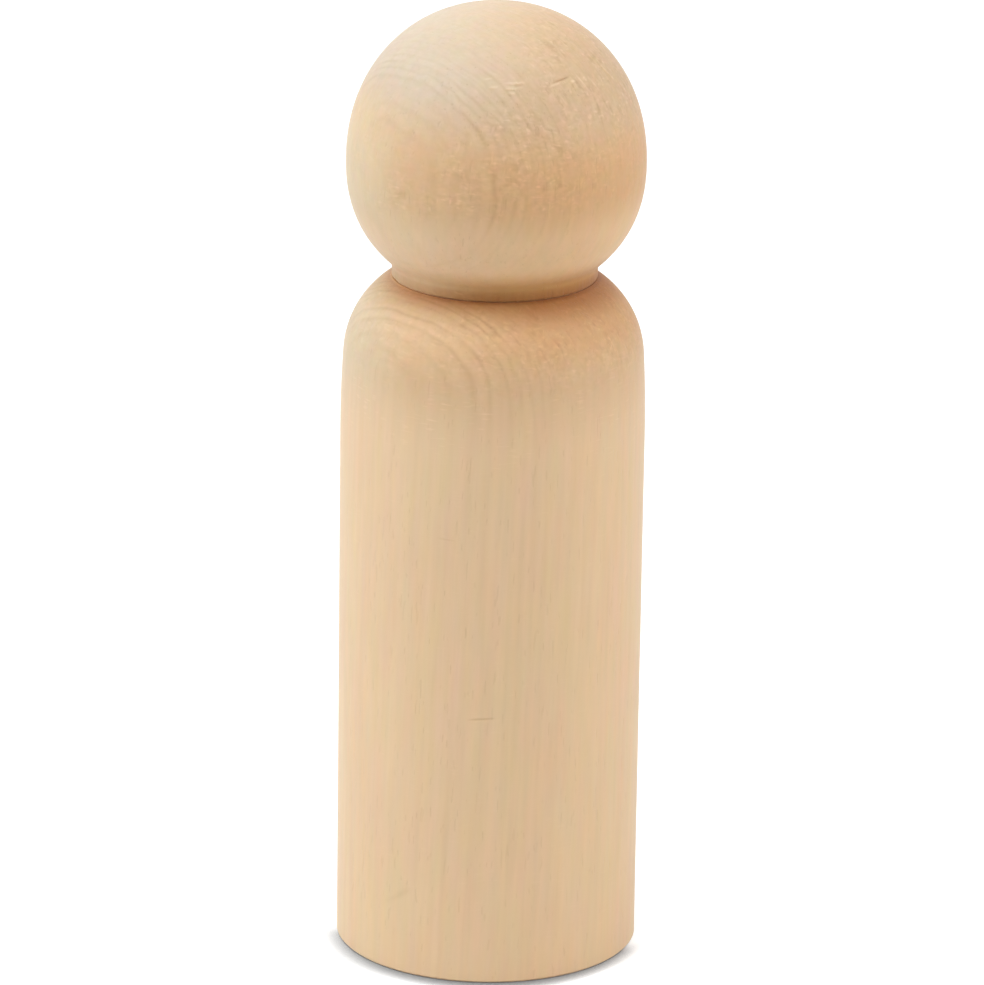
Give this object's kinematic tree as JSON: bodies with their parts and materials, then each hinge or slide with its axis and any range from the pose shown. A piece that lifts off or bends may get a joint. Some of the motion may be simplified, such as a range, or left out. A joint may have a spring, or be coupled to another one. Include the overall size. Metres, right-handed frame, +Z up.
{
  "type": "peg doll",
  "caption": "Plain turned wooden peg doll with a ball head on a short neck, rounded shoulders and a straight round body on a flat base.",
  "frame": {"origin": "centre of the flat base, on the surface that the doll stands on", "axes": "+Z up along the turned axis, -Y towards the viewer of the picture, +X to the viewer's right"},
  "size_m": [0.028, 0.028, 0.089],
  "materials": {
    "bare_wood": "bare, finely sanded pale hardwood"
  },
  "bodies": {
    "root": {"body": "bare_wood", "head": "bare_wood"}
  },
  "joints": []
}
